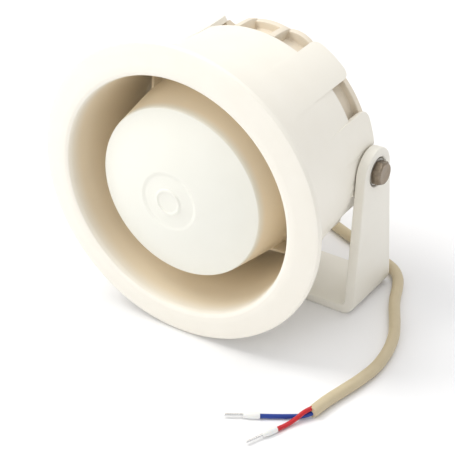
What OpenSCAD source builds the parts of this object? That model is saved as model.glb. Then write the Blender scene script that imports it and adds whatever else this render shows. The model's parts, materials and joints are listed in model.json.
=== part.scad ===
// Alarm siren: folded horn on a U bracket, with its driver, sound board and lead.
// Millimetres, +Z up. The origin is the middle of the bracket's base, on its underside.
// The horn faces -Y. Depth runs from the rim's plane towards the back (+Y).

/* [Horn] */
// Outside diameter of the horn's rim
rim_d = 139.6; // [136:0.2:142]
// Height of the horn's axis above the mounting surface
axis_h = 70; // [70:0.5:76]
// Distance from the rim's plane back to the pivot
pivot_depth = 68; // [67:0.5:69]
// Outside radius of the body where the rear crown starts
body_r = 53.4; // [53.2:0.1:53.5]
// Thickness of the spokes that hold the reflector
web_t = 2; // [1.4:0.2:3]
// Diameter of the reflector's front disc
disc_d = 79.2; // [74:0.4:82]

/* [Bracket] */
// Width of the bracket over both arms
bracket_w = 118; // [118:1:124]
// Depth of the bracket's base
base_depth = 34; // [32:1:40]
// Thickness of the arms
arm_t = 5; // [4:0.5:5]
// Thickness of the base plate
base_t = 4; // [3:0.5:5]
// Radius of the rounded arm ends
arm_end_r = 11; // [9:0.5:12]
// Radius of the outside bends
bend_r = 6; // [5.5:0.5:8]
// Height of the pivot above the mounting surface
pivot_h = 67; // [66:0.5:69]
// Distance between the two screw holes in the base
base_hole_pitch = 40; // [30:1:60]
// Radius of the two screw holes in the base
base_hole_r = 2.6; // [2:0.1:3.5]

/* [Pivot] */
// Radius of the pivot bolts' shanks
bolt_r = 3; // [2.5:0.5:3]
// Radial clearance of the bolts in the arms
bolt_clearance = 0.05; // [0.02:0.01:0.1]
// Depth of the recesses in the arms that the bolts' washers sit in
bolt_recess = 1.8; // [1:0.1:2.5]
// Width across flats of the bolt heads
head_af = 10; // [8:0.5:11]
// Height of the bolt heads
head_h = 4; // [3:0.5:5]

/* [Driver] */
// Outside radius of the ring magnet
magnet_r = 30; // [26:0.5:31]
// Radius of the voice coil's former, outside
coil_r = 12.35; // [12.3:0.01:12.4]
// Radius of the circuit board
board_r = 36; // [30:0.5:36.5]

/* [Lead] */
// Radius of the lead's outer sheath
sheath_r = 2.6; // [2.2:0.1:2.6]
// Radius of each core's insulation
core_r = 1; // [0.8:0.1:1.1]

/* [Hidden] */
$fn = 96;
rim_r = rim_d / 2;
disc_r = disc_d / 2;
arm_out = bracket_w / 2;
arm_in = arm_out - arm_t;
seat_x = 53.2;            // outer face of the pivot bosses
boss_in = 47.6;           // inner face of the pivot bosses
gap = 0.3;                // clearance between bodies
pivot_drop = axis_h - pivot_h;
bolt_seat = arm_out - bolt_recess;

// clock angles of the crown's open pockets, counted from the right-hand side up
side_pocket = [24.9, 42.2];
top_pocket = [65.3, 114.7];
flange_gap = [101.2, 116];   // where the rear cover's flange is cut away
rib_at = 80.45;           // clock angle of the rear cover's thin ribs
rib_w = 3;
crown_step = 59.2;        // depth of the step where the crown starts
crown_end = 74;
tab_in = 51.2;            // bore that the rear cover fits
screw_ring = 40.8;        // radius of the cover screws' circle
foot_ring = 46.6;         // radius of the reflector feet's circle
floor_front = 48;         // faces of the web that turns the sound forward
floor_back = 50.6;

// outside and inside of the shell as [radius, depth]
shell_outside = [
    [rim_r, 0.3], [rim_r, 2.2], [rim_r - 0.6, 2.8], [66, 3.6], [63.2, 5.2], [61, 7.6],
    [59.4, 10.6], [58.2, 14.5], [57.3, 19], [56.8, 24], [56.2, 30], [55.2, 39],
    [54.2, 49], [body_r, crown_step - 1], [body_r, crown_end], [tab_in, crown_end],
    [tab_in, floor_back],
    [11.4, floor_back], [11.4, floor_front], [48.8, floor_front]
];
shell_inside = [
    [50.3, 47.2], [50.7, 45.6], [51.4, 38], [52.3, 28], [53.2, 18], [54.1, 9],
    [54.9, 2.8], [55.2, 0], [55.6, -2.2], [56.4, -2.9], [58, -3.1], [60, -2.9],
    [63, -2.1], [66.5, -1], [rim_r - 0.6, -0.1]
];

// front of the reflector's disc, from the centre out
disc_front = [
    [0, -6.5], [3.6, -6.6], [4.4, -7], [5.2, -7.5], [6, -7.2], [6.6, -6.5], [7.4, -6.1],
    [12.4, -5.6], [13.6, -6.4], [17, -5.8], [22, -4.5], [27, -3], [32, -1.1], [36, 0.6],
    [disc_r - 1, 1.8], [disc_r - 0.2, 2.2]
];
cup_outside = [
    [disc_r, 3], [39.9, 5], [41, 12], [42.2, 20], [43.2, 26], [44.4, 36], [45, 43]
];
cup_inside = [
    [43.2, 43], [42.6, 36], [41.4, 26], [40.4, 20], [39.2, 12], [38.2, 5.6], [36.4, 3.4],
    [32, 1.1], [27, -0.8], [22, -2.3], [14, -4], [0, -4.2]
];
spoke_side = [
    [41.8, 25], [43.4, 27], [51.7, 35], [50.9, 43.5], [50.5, 45.6], [50.1, 47],
    [48.6, floor_front], [42.8, floor_front], [42.4, 42]
];
throat_side = [
    [9.2, 50], [9.2, 45.5], [10.4, 40], [12.2, 34], [14.8, 27], [18, 20], [21, 15],
    [22, 13.5], [23.8, 13.5], [22.8, 15.6], [19.8, 20.8], [16.6, 27.7], [14, 34.6],
    [12.2, 40.5], [11.1, 46], [11.1, floor_back], [35.5, floor_back], [35.5, 53],
    [13.5, 53]
];
cover_outside = [
    [50.9, 53], [50.9, 54.8], [49.7, 54.8], [49.7, 56.8], [50.9, 56.8], [50.9, 59],
    [47.6, 59], [47.6, 71.5], [50.9, 71.5], [50.9, 74.5], [49, 75.8], [45.5, 78.2],
    [42, 81], [38.5, 84.3], [35.2, 86], [0, 86]
];
cover_inside = [
    [0, 83.6], [34, 83.6], [36.6, 82.6], [40, 79.4], [43.4, 76.6], [45.1, 74],
    [45.1, 58.6], [48.4, 56], [48.4, 53]
];

// rear of the horn
gland_x = -12;
gland_z = 44;
back_depth = 86;
gland_end = 98;
pad_depth = 81.2;         // seats of the cover screws' heads
post_end = 75.5;          // where the shell's screw posts meet the cover
board_front = 74;
board_back = 75.6;
yoke_back = 71.5;

// route of the lead, its cores and their ends; all but the fall lies on the floor
sheath_z = 2.7;
sheath_route = [
    [gland_x, gland_end - pivot_depth, gland_z], [-12, 33, 44], [-12, 38.2, 42.9],
    [-12, 43.6, 39.8], [-12, 47.6, 35], [-12, 49.7, 29], [-12, 50.2, 22.6],
    [-10.8, 49.9, 15.9], [-7.4, 49, 9.8], [-2, 47.6, 5.3], [4.6, 45.4, 3.1],
    [11, 42.9, sheath_z], [17.6, 40.2, sheath_z], [24.4, 37.4, sheath_z],
    [33, 34, sheath_z], [42, 30.2, sheath_z], [50.4, 26.4, sheath_z],
    [57.8, 22.8, sheath_z], [63, 17.2, sheath_z], [66.4, 10.6, sheath_z],
    [69, 4, sheath_z], [72, -2.4, sheath_z], [75.4, -8.4, sheath_z],
    [79.4, -15.6, sheath_z],
    [83.4, -24, sheath_z], [86.4, -35, sheath_z], [87.6, -47, sheath_z],
    [86.4, -58.4, sheath_z], [84.2, -69, sheath_z], [82, -79, sheath_z],
    [80.8, -88.8, sheath_z]
];
blue_route = [
    [80.9, -87.6, 2.2], [80.2, -89.4, 1.9], [77.6, -91.6, 1.3], [73.6, -94.4, 1.2],
    [68.4, -97.8, 1.2], [62.8, -101.2, 1.2]
];
red_route = [
    [80.7, -86.8, 4], [79.6, -89.6, 4.1], [78.4, -92.2, 3.5], [77.2, -95.2, 2.2],
    [75.6, -99.6, 1.3], [73.3, -105.3, 1.2]
];
sleeve_r = 1.5;
sleeve_l = 6.5;
pin_r = 0.6;
pin_l = 8;

// the driver's own wires, from the board's edge to the terminals
lead_one = [
    [34, 9, 77], [36, 9.6, 77.6], [38.4, 10, 77], [39.6, 10.4, 75], [39.6, 10.6, 71],
    [38.6, 10.6, 67], [36.4, 10.4, 64.6], [34.6, 10, 63.6], [33.6, 9.6, 62.6]
];
lead_two = [
    [34, 12, 77], [35.8, 12.8, 77.8], [38, 13.4, 77], [39.2, 13.8, 75], [39.2, 14, 71],
    [38, 14, 67], [35.8, 13.8, 64.6], [34, 13.4, 63.6], [32.8, 12.8, 62.6]
];

// stands the horn's own frame (z = depth) in the object's frame
module on_horn() {
    translate([0, -pivot_depth, axis_h])
        rotate([-90, 0, 0])
            children();
}

// places children at a clock angle around the horn's axis
module at_clock(a, r = 0) {
    rotate([0, 0, -a])
        translate([r, 0, 0])
            children();
}

// ring around the horn's axis
module ring(r_out, r_in, from, to) {
    translate([0, 0, from])
        difference() {
            cylinder(r = r_out, h = to - from);
            translate([0, 0, -1])
                cylinder(r = r_in, h = to - from + 2);
        }
}

// part of a ring between two clock angles
module sector(span, r_out, r_in, from, to) {
    rotate([0, 0, -span[1]])
        rotate_extrude(angle = span[1] - span[0])
            translate([r_in, from])
                square([r_out - r_in, to - from]);
}

// flat plate that stands along a radius, cut to a side view of [radius, depth]
module radial_plate(side, width) {
    rotate([90, 0, 0])
        linear_extrude(height = width, center = true)
            polygon(side);
}

// rod along X from one position to another, at the pivot's height and depth
module pivot_rod(r, from, to) {
    translate([from, 0, pivot_h])
        rotate([0, 90, 0])
            cylinder(r = r, h = to - from);
}

// hexagonal or round screw with its head's seat at z = 0 and its shank towards -z
module pan_screw(head_r, head_t, shank_r, shank_l) {
    cylinder(r = head_r, h = head_t);
    translate([0, 0, -shank_l])
        cylinder(r = shank_r, h = shank_l + 0.1);
}

function unit(v) = v / norm(v);
function heading(p, i) =
    i == 0 ? unit(p[1] - p[0])
    : i == len(p) - 1 ? unit(p[i] - p[i - 1])
    : unit(unit(p[i + 1] - p[i]) + unit(p[i] - p[i - 1]));
function carried(n, t) = unit(n - (n * t) * t);
function side_vectors(p, first, i = 0, seen = []) =
    i == len(p) ? seen
    : side_vectors(p, first, i + 1, concat(seen,
        [carried(i == 0 ? first : seen[i - 1], heading(p, i))]));

// round tube swept along a route as one closed solid
module swept(route, r, sides, first) {
    n = len(route);
    s = side_vectors(route, first);
    pts = [for (i = [0 : n - 1], k = [0 : sides - 1])
        let (t = heading(route, i), u = s[i], v = cross(t, u), a = 360 * k / sides)
            route[i] + r * (cos(a) * u + sin(a) * v)];
    walls = [for (i = [0 : n - 2], k = [0 : sides - 1])
        let (k2 = (k + 1) % sides)
            [i * sides + k, (i + 1) * sides + k, (i + 1) * sides + k2, i * sides + k2]];
    start = [[for (k = [0 : sides - 1]) k]];
    finish = [[for (k = [0 : sides - 1]) (n - 1) * sides + sides - 1 - k]];
    polyhedron(points = pts, faces = concat(walls, start, finish));
}

// rod between two points
module rod(from, to, r) {
    v = to - from;
    translate(from)
        rotate([0, acos(v[2] / norm(v)), atan2(v[1], v[0])])
            cylinder(r = r, h = norm(v));
}

// front view of the bracket: base, bends and arms
module bracket_front() {
    top = pivot_h + arm_end_r;
    inner_r = 2;
    difference() {
        union() {
            translate([-arm_out, bend_r])
                square([2 * arm_out, top - bend_r]);
            translate([-arm_out + bend_r, 0])
                square([2 * (arm_out - bend_r), bend_r + 1]);
            for (s = [-1, 1])
                translate([s * (arm_out - bend_r), bend_r])
                    circle(r = bend_r);
        }
        translate([-arm_in, base_t + inner_r])
            square([2 * arm_in, top]);
        translate([-arm_in + inner_r, base_t])
            square([2 * (arm_in - inner_r), top]);
        for (s = [-1, 1])
            translate([s * (arm_in - inner_r), base_t + inner_r])
                circle(r = inner_r);
    }
}

// side view of the bracket: tapered arm with a rounded end
module bracket_side() {
    half = base_depth / 2;
    reach = norm([half, pivot_h]);
    lean = atan2(-pivot_h, half) + acos(arm_end_r / reach);
    touch = [arm_end_r * cos(lean), pivot_h + arm_end_r * sin(lean)];
    polygon([[-half, 0], [half, 0], touch, [-touch[0], touch[1]]]);
    translate([0, pivot_h])
        circle(r = arm_end_r);
}

module u_bracket() color("ivory") {
    difference() {
        intersection() {
            rotate([90, 0, 0])
                linear_extrude(height = base_depth, center = true)
                    bracket_front();
            rotate([90, 0, 90])
                linear_extrude(height = bracket_w + 2, center = true)
                    bracket_side();
        }
        pivot_rod(bolt_r + bolt_clearance, -arm_out - 1, arm_out + 1);
        for (s = [-1, 1])
            translate([s * base_hole_pitch / 2, 0, -1])
                cylinder(r = base_hole_r, h = base_t + 2);
        pivot_rod(6.8, arm_out - bolt_recess, arm_out + 1);
        pivot_rod(6.8, -arm_out - 1, bolt_recess - arm_out);
    }
}

// flat pad that the pivot bolt's insert sits in
module pivot_boss(side) {
    low = pivot_drop - 9.3;
    high = 18.6;
    outer = seat_x - 51.3;
    translate([side > 0 ? boss_in : -seat_x, low, crown_step + 0.1])
        cube([seat_x - boss_in, high, crown_end - crown_step - 0.1]);
    translate([side > 0 ? 51.3 : -seat_x, low, crown_step - 3])
        cube([outer, high, 5]);
}

module horn_shell() color("ivory") {
    difference() {
        on_horn()
            union() {
                rotate_extrude()
                    polygon(concat(shell_outside, shell_inside));
                for (side = [-1, 1])
                    pivot_boss(side);
                for (a = [0 : 90 : 270])
                    at_clock(a, screw_ring)
                        translate([0, 0, floor_back - 0.5])
                            cylinder(r = 3.3, h = post_end - floor_back + 0.5);
            }
        pivot_rod(4.25, boss_in - 2, seat_x + 2);
        pivot_rod(4.25, -seat_x - 2, -boss_in + 2);
        on_horn() {
            for (m = [0, 1], n = [0, 1])
                mirror([m, 0, 0])
                    mirror([0, n, 0])
                        sector(side_pocket, 57, 49, crown_step, crown_end + 2);
            for (n = [0, 1])
                mirror([0, n, 0])
                    sector(top_pocket, 57, 49, crown_step, crown_end + 2);
            for (side = [-1, 1])
                translate([side > 0 ? seat_x : -seat_x - 4, pivot_drop - 9.3, crown_step - 3])
                    cube([4, 18.6, 20]);
            for (a = [0 : 90 : 270]) {
                at_clock(a, screw_ring)
                    translate([0, 0, 62])
                        cylinder(r = 1.7, h = 20);
                at_clock(a, 32)
                    translate([0, 0, 48.8])
                        cylinder(r = 1.5, h = 3);
                at_clock(a + 45, foot_ring)
                    translate([0, 0, floor_front - 1])
                        cylinder(r = 1.4, h = 4);
            }
        }
    }
}

module reflector_cup() color("linen")
    on_horn()
        difference() {
            union() {
                rotate_extrude()
                    polygon(concat(disc_front, cup_outside, cup_inside));
                for (a = [45 : 90 : 315])
                    at_clock(a) {
                        radial_plate(spoke_side, web_t);
                        translate([foot_ring, 0, 41])
                            cylinder(r = 3, h = floor_front - 41);
                    }
            }
            for (a = [45 : 90 : 315])
                at_clock(a, foot_ring)
                    translate([0, 0, 42])
                        cylinder(r = 1.2, h = 8);
        }

module reflector_screws() color("silver")
    on_horn()
        for (a = [45 : 90 : 315])
            at_clock(a, foot_ring)
                translate([0, 0, floor_back])
                    pan_screw(2.4, 1.6, 1.15, 8);

module throat_horn() color("ivory")
    on_horn()
        difference() {
            rotate_extrude()
                polygon(throat_side);
            for (a = [0 : 90 : 270])
                at_clock(a, 32)
                    translate([0, 0, 50])
                        cylinder(r = 1.7, h = 4);
        }

module phase_plug() color("dimgray")
    on_horn() {
        ring(9.15, 8, 46, 49);
        rotate_extrude()
            polygon([[0, 49.6], [2.4, 49.2], [3.4, 47.6], [3.2, 45], [2.2, 42], [0.9, 39.6],
                [0, 39]]);
        for (a = [30 : 120 : 270])
            at_clock(a)
                translate([1, -0.6, 46.2])
                    cube([7.6, 1.2, 2.6]);
    }

module driver_flange() color("dimgray")
    on_horn()
        difference() {
            rotate_extrude()
                polygon([[20, 53], [35.5, 53], [35.5, 57.5], [15.6, 57.5], [15.6, 54.4],
                    [20, 54.4]]);
            for (a = [0 : 90 : 270])
                at_clock(a, 32)
                    translate([0, 0, 50])
                        cylinder(r = 1.7, h = 10);
        }

module top_plate() color("silver")
    on_horn()
        ring(29, 13.3, 57.5, 60.5);

module magnet_ring() color("dimgray")
    on_horn()
        ring(magnet_r, 16, 60.5, 68.5);

module pole_yoke() color("silver")
    on_horn()
        difference() {
            union() {
                translate([0, 0, 57])
                    cylinder(r = 11.4, h = 12);
                translate([0, 0, 68.5])
                    cylinder(r = 28, h = yoke_back - 68.5);
            }
            for (a = [90 : 120 : 330])
                at_clock(a, 22)
                    translate([0, 0, 69.5])
                        cylinder(r = 1.3, h = 3);
        }

module driver_screws() color("silver")
    on_horn()
        for (a = [0 : 90 : 270])
            at_clock(a, 32)
                translate([0, 0, 57.5])
                    pan_screw(2.7, 2, 1.4, 8.5);

module driver_terminals() color("tan")
    on_horn()
        at_clock(-18, 33.2) {
            translate([-2.2, -4.6, 57.5])
                cube([4.4, 9.2, 2.6]);
            for (y = [-1.8, 1.8])
                translate([-0.4, y - 1, 60])
                    cube([0.8, 2, 2.4]);
        }

module diaphragm_dome() color("lightgoldenrodyellow")
    on_horn() {
        rotate_extrude()
            polygon([[0, 50.9], [4, 51.1], [8, 51.9], [11, 52.9], [12.35, 53.5], [12.35, 53.8],
                [10.8, 53.3], [7.9, 52.25], [3.9, 51.4], [0, 51.2]]);
        ring(coil_r, 12, 53.55, 61.4);
    }

module diaphragm_surround() color("tan")
    on_horn()
        rotate_extrude()
            polygon([[12.36, 53.5], [14, 53.5], [15, 53.8], [16, 53.5], [19.2, 53.5],
                [19.2, 53.9], [16, 53.9], [15, 54.2], [14, 53.9], [12.36, 53.9]]);

module voice_coil() color("chocolate")
    on_horn()
        ring(12.95, 12.36, 57, 61.2);

module rear_cover() color("ivory")
    on_horn()
        difference() {
            union() {
                rotate_extrude()
                    polygon(concat(cover_outside, cover_inside));
                for (a = [0 : 90 : 270])
                    at_clock(a, screw_ring)
                        translate([0, 0, post_end])
                            cylinder(r = 4, h = pad_depth - post_end + 0.3);
                for (a = [rib_at, 180 - rib_at, -rib_at, rib_at - 180])
                    at_clock(a)
                        radial_plate([[46.6, 59.5], [body_r, 59.5], [51, 74.5], [46.6, 74.5]],
                            rib_w);
            }
            for (side = [-1, 1])
                translate([side > 0 ? 47.2 : -60, pivot_drop - 9.8, 58])
                    cube([12.8, 19.6, 16.4]);
            for (a = [0 : 90 : 270])
                at_clock(a, screw_ring)
                    translate([0, 0, pad_depth]) {
                        translate([0, 0, -8])
                            cylinder(r = 1.9, h = 12);
                        cylinder(r = 3.6, h = 8);
                    }
            translate([gland_x, axis_h - gland_z, 80])
                cylinder(r = 3.7, h = 10);
            for (turn = [0, 180])
                rotate([0, 0, turn])
                    sector(flange_gap, 57, 47.7, yoke_back - 0.6, pad_depth - 2);
        }

module cover_gasket() color("dimgray")
    on_horn()
        rotate_extrude()
            translate([50.45, 55.8])
                circle(r = 0.7, $fn = 24);

module cover_screws() color("silver")
    on_horn()
        for (a = [0 : 90 : 270])
            at_clock(a, screw_ring)
                translate([0, 0, pad_depth])
                    pan_screw(3.2, 2.2, 1.6, 16);

module board_standoffs() color("goldenrod")
    on_horn()
        for (a = [90 : 120 : 330])
            at_clock(a, 22)
                ring(2.5, 1.3, yoke_back, board_front);

module circuit_board() color("seagreen")
    on_horn()
        difference() {
            translate([0, 0, board_front])
                cylinder(r = board_r, h = board_back - board_front);
            for (a = [90 : 120 : 330])
                at_clock(a, 22)
                    translate([0, 0, board_front - 1])
                        cylinder(r = 1.4, h = 5);
        }

module board_screws() color("silver")
    on_horn()
        for (a = [90 : 120 : 330])
            at_clock(a, 22)
                translate([0, 0, board_back])
                    pan_screw(2.4, 1.6, 1.25, 5.8);

module capacitors() color("midnightblue")
    on_horn()
        for (p = [[14, -18], [4, -27]])
            translate([p[0], p[1], board_back])
                cylinder(r = 3.15, h = 7);

module power_transistors() color("dimgray")
    on_horn()
        for (x = [-24, -12])
            translate([x, -12, board_back]) {
                cube([10, 9, 3.6]);
                translate([0, 9, 0])
                    cube([10, 6, 1.2]);
            }

module sound_chip() color("dimgray")
    on_horn()
        translate([3, -6, board_back]) {
            translate([0, 0, 0.5])
                cube([9.8, 6.4, 3.3]);
            for (i = [0 : 3])
                for (y = [-0.5, 6.1])
                    translate([0.8 + 2.4 * i, y, 0])
                        cube([1, 0.8, 1.6]);
        }

module resistors() color("tan")
    on_horn()
        for (i = [0 : 3])
            translate([3.4 + 3.8 * i, 7, board_back + 1.2])
                rotate([-90, 0, 0]) {
                    cylinder(r = 1.15, h = 6.4);
                    translate([0, 0, -1.4])
                        cylinder(r = 0.4, h = 9.2);
                }

module inner_leads() color("firebrick")
    on_horn() {
        swept(lead_one, 0.6, 8, [0, 1, 0]);
        swept(lead_two, 0.6, 8, [0, 1, 0]);
    }

module pivot_inserts() color("goldenrod")
    for (m = [0, 1])
        mirror([m, 0, 0])
            difference() {
                pivot_rod(4.2, 48, 53.1);
                pivot_rod(bolt_r + 0.02, 47, 54);
            }

module pivot_bolts() color("silver")
    for (m = [0, 1])
        mirror([m, 0, 0]) {
            pivot_rod(bolt_r, 48.4, bolt_seat + 1.6);
            translate([bolt_seat + 1.5, 0, pivot_h])
                rotate([0, 90, 0])
                    cylinder(r = head_af / 2 / cos(30), h = head_h, $fn = 6);
        }

module bolt_washers() color("silver")
    for (m = [0, 1])
        mirror([m, 0, 0])
            difference() {
                pivot_rod(6.2, bolt_seat + gap, bolt_seat + 1.5);
                pivot_rod(bolt_r + 0.1, bolt_seat, bolt_seat + 3);
            }

module friction_washers() color("dimgray")
    for (m = [0, 1])
        mirror([m, 0, 0])
            difference() {
                pivot_rod(8, seat_x, arm_in - gap);
                pivot_rod(bolt_r + 0.1, seat_x - 1, arm_in + 1);
            }

module cable_gland() color("dimgray")
    on_horn()
        translate([gland_x, axis_h - gland_z, 0])
            rotate_extrude()
                polygon([[sheath_r, 80], [3.6, 80], [3.6, 86], [5.8, 86], [5.8, 87.6],
                    [4.6, 88.2], [3.5, gland_end], [sheath_r, gland_end]]);

module gland_nut() color("dimgray")
    on_horn()
        translate([gland_x, axis_h - gland_z, 81.6])
            difference() {
                cylinder(r = 5.6, h = 2, $fn = 6);
                translate([0, 0, -1])
                    cylinder(r = 3.65, h = 4);
            }

module cable_sheath() color("tan")
    swept(sheath_route, sheath_r, 12, [1, 0, 0]);

module core_blue() color("steelblue")
    swept(blue_route, core_r, 10, [0, 0, 1]);

module core_red() color("firebrick")
    swept(red_route, core_r, 10, [0, 0, 1]);

// end of a core's route moved on along its last heading
function beyond(route, l) =
    let (e = route[len(route) - 1], b = route[len(route) - 2])
        e + l * unit([e[0] - b[0], e[1] - b[1], 0]);

module ferrule_sleeves() color("white")
    for (route = [blue_route, red_route])
        difference() {
            rod(lift(beyond(route, -0.6)), lift(beyond(route, sleeve_l)), sleeve_r);
            rod(beyond(route, -1.6), beyond(route, 0.4), core_r + 0.1);
        }

module ferrule_pins() color("silver")
    for (route = [blue_route, red_route])
        rod(lift(beyond(route, sleeve_l)), lift(beyond(route, sleeve_l + pin_l)), pin_r);

// raises a point so that the ferrule's sleeve lies on the floor
function lift(p) = [p[0], p[1], sleeve_r + 0.05];

u_bracket();
horn_shell();
reflector_cup();
reflector_screws();
throat_horn();
phase_plug();
driver_flange();
top_plate();
magnet_ring();
pole_yoke();
driver_screws();
driver_terminals();
diaphragm_dome();
diaphragm_surround();
voice_coil();
rear_cover();
cover_gasket();
cover_screws();
board_standoffs();
circuit_board();
board_screws();
capacitors();
power_transistors();
sound_chip();
resistors();
inner_leads();
pivot_inserts();
pivot_bolts();
bolt_washers();
friction_washers();
cable_gland();
gland_nut();
cable_sheath();
core_blue();
core_red();
ferrule_sleeves();
ferrule_pins();
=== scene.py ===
"""Looks of an alarm siren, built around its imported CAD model.

Lengths in the sub-assemblies are millimetres in the frame of the CAD model: +Z up, the
horn faces -Y, and the origin is the middle of the bracket's base on its underside. The
horn's own parts are given by radius, clock angle and depth behind the rim's plane.
"""

import json
import logging
import math
from dataclasses import dataclass
from enum import Enum
from typing import Callable, Iterable, Sequence

import bmesh
import bpy
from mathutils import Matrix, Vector

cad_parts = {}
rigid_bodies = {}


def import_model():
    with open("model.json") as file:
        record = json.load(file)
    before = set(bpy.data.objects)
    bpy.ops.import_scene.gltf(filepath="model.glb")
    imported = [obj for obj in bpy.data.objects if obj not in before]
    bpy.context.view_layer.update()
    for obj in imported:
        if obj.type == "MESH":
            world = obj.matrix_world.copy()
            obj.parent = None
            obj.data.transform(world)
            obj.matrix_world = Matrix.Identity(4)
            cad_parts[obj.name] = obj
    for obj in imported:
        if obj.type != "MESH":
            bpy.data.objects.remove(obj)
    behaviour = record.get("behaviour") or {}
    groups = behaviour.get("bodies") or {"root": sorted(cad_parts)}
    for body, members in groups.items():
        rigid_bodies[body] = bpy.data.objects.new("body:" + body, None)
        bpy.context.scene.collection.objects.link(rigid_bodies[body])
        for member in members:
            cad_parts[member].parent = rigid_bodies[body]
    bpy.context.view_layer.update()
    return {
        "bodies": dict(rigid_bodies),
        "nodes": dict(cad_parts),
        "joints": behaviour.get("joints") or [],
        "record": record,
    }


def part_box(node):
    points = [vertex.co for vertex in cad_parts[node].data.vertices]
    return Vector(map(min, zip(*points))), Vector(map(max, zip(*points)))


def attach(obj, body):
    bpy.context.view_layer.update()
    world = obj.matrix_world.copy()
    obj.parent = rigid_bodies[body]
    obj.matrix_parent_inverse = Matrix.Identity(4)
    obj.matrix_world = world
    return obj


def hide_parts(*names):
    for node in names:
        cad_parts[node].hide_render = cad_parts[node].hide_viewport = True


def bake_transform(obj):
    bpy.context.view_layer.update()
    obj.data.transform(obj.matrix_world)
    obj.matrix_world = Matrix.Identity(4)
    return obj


MM = 0.001

# places that several pieces share
PIVOT_HEIGHT = 67.0
SCREW_CLOCKS = (0, 90, 180, 270)
SPOKE_CLOCKS = (45, 135, 225, 315)
SCREW_RING = 40.8
BOTH_SIDES = (-1, 1)

Point = tuple[float, float, float]
# x, y and rounding radius
Corner = tuple[float, float, float]
Flat = tuple[float, float]
Ring = list[Vector]

log = logging.getLogger("siren")


# ---------------------------------------------------------------- outlines and meshes


def mix(a: float, b: float, share: float) -> float:
    """Returns the value that lies at a share of the way from a to b."""
    return a + (b - a) * share


def smoothstep(low: float, high: float, value: float) -> float:
    """Returns a soft step from 0 at low to 1 at high."""
    share = min(max((value - low) / (high - low), 0.0), 1.0)
    return share * share * (3 - 2 * share)


def rounded(corners: Sequence[Corner], steps: int = 5, closed: bool = True) -> list[Flat]:
    """Rounds the corners of a flat outline.

    Args:
        corners: Corners as (x, y, rounding radius).
        steps: Segments in each rounding.
        closed: Whether the last corner joins the first.

    Returns:
        The outline's points. A rounding that doesn't fit is made as large as fits.
    """
    points: list[Flat] = []
    count = len(corners)
    for i, (x, y, radius) in enumerate(corners):
        if not closed and i in (0, count - 1) or radius <= 0:
            points.append((x, y))
            continue
        here = Vector((x, y))
        back = Vector(corners[i - 1][:2]) - here
        ahead = Vector(corners[(i + 1) % count][:2]) - here
        turn = math.pi - back.angle(ahead)
        if turn < 0.02:
            points.append((x, y))
            continue
        reach = min(radius * math.tan(turn / 2), 0.49 * back.length, 0.49 * ahead.length)
        start = here + back.normalized() * reach
        end = here + ahead.normalized() * reach
        for step in range(steps + 1):
            t = step / steps
            p = start * (1 - t) ** 2 + here * 2 * t * (1 - t) + end * t * t
            points.append((p.x, p.y))
    return points


def smooth_path(points: Sequence[Point], steps: int = 6) -> list[Vector]:
    """Returns a smooth line through the points, as evenly turning pieces between them."""
    p = [Vector(q) for q in points]
    p = [p[0] * 2 - p[1], *p, p[-1] * 2 - p[-2]]
    line: list[Vector] = []
    for i in range(1, len(p) - 2):
        before, a, b, after = p[i - 1 : i + 3]
        for step in range(steps):
            t = step / steps
            line.append(
                0.5
                * (
                    2 * a
                    + (b - before) * t
                    + (2 * before - 5 * a + 4 * b - after) * t**2
                    + (3 * a - before - 3 * b + after) * t**3
                )
            )
    return [*line, p[-2]]


class Mesh:
    """A mesh under construction, in millimetres, that becomes one named piece."""

    def __init__(self) -> None:
        """Starts with no geometry."""
        self.bm = bmesh.new()

    def bands(self, rings: Sequence[Ring], looped: bool = False) -> list:
        """Joins closed rings of points, one to the next.

        Args:
            rings: Rings with equal counts of points, in millimetres.
            looped: Whether the last ring joins the first.

        Returns:
            The vertices of each ring.
        """
        made = [[self.bm.verts.new(p * MM) for p in ring] for ring in rings]
        pairs = list(zip(made, made[1:]))
        if looped:
            pairs.append((made[-1], made[0]))
        count = len(rings[0])
        for a, b in pairs:
            for i in range(count):
                j = (i + 1) % count
                self.bm.faces.new((a[i], a[j], b[j], b[i]))
        return made

    def cap(self, ring: Sequence, flip: bool = False) -> None:
        """Closes a ring of vertices with one face."""
        self.bm.faces.new(list(reversed(ring)) if flip else list(ring))

    def solid(self, rings: Sequence[Ring]) -> None:
        """Joins rings of points and closes the first and the last with a face each."""
        made = self.bands(rings)
        self.cap(made[0])
        self.cap(made[-1], flip=True)

    def piece(self, name: str, bevel: float = 0.0, sharp: float = 38.0) -> bpy.types.Object:
        """Makes the mesh into an object.

        Args:
            name: Name of the piece.
            bevel: Width in millimetres of the rounding on its sharp edges.
            sharp: Angle in degrees above which an edge isn't shaded smooth.

        Returns:
            The object, which stands in the scene.
        """
        bmesh.ops.remove_doubles(self.bm, verts=self.bm.verts, dist=1e-6)
        bmesh.ops.recalc_face_normals(self.bm, faces=self.bm.faces)
        data = bpy.data.meshes.new(name)
        self.bm.to_mesh(data)
        self.bm.free()
        data.shade_smooth()
        obj = bpy.data.objects.new(name, data)
        bpy.context.scene.collection.objects.link(obj)
        if bevel:
            edge = obj.modifiers.new("edge", "BEVEL")
            edge.width = bevel * MM
            edge.segments = 2
            edge.limit_method = "ANGLE"
            edge.angle_limit = math.radians(sharp)
            edge.harden_normals = False
            apply_modifiers(obj)
        obj.data.set_sharp_from_angle(angle=math.radians(sharp))
        return obj


def apply_modifiers(obj: bpy.types.Object) -> None:
    """Applies the object's modifiers to its mesh."""
    graph = bpy.context.evaluated_depsgraph_get()
    data = bpy.data.meshes.new_from_object(obj.evaluated_get(graph))
    obj.modifiers.clear()
    obj.data = data


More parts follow.
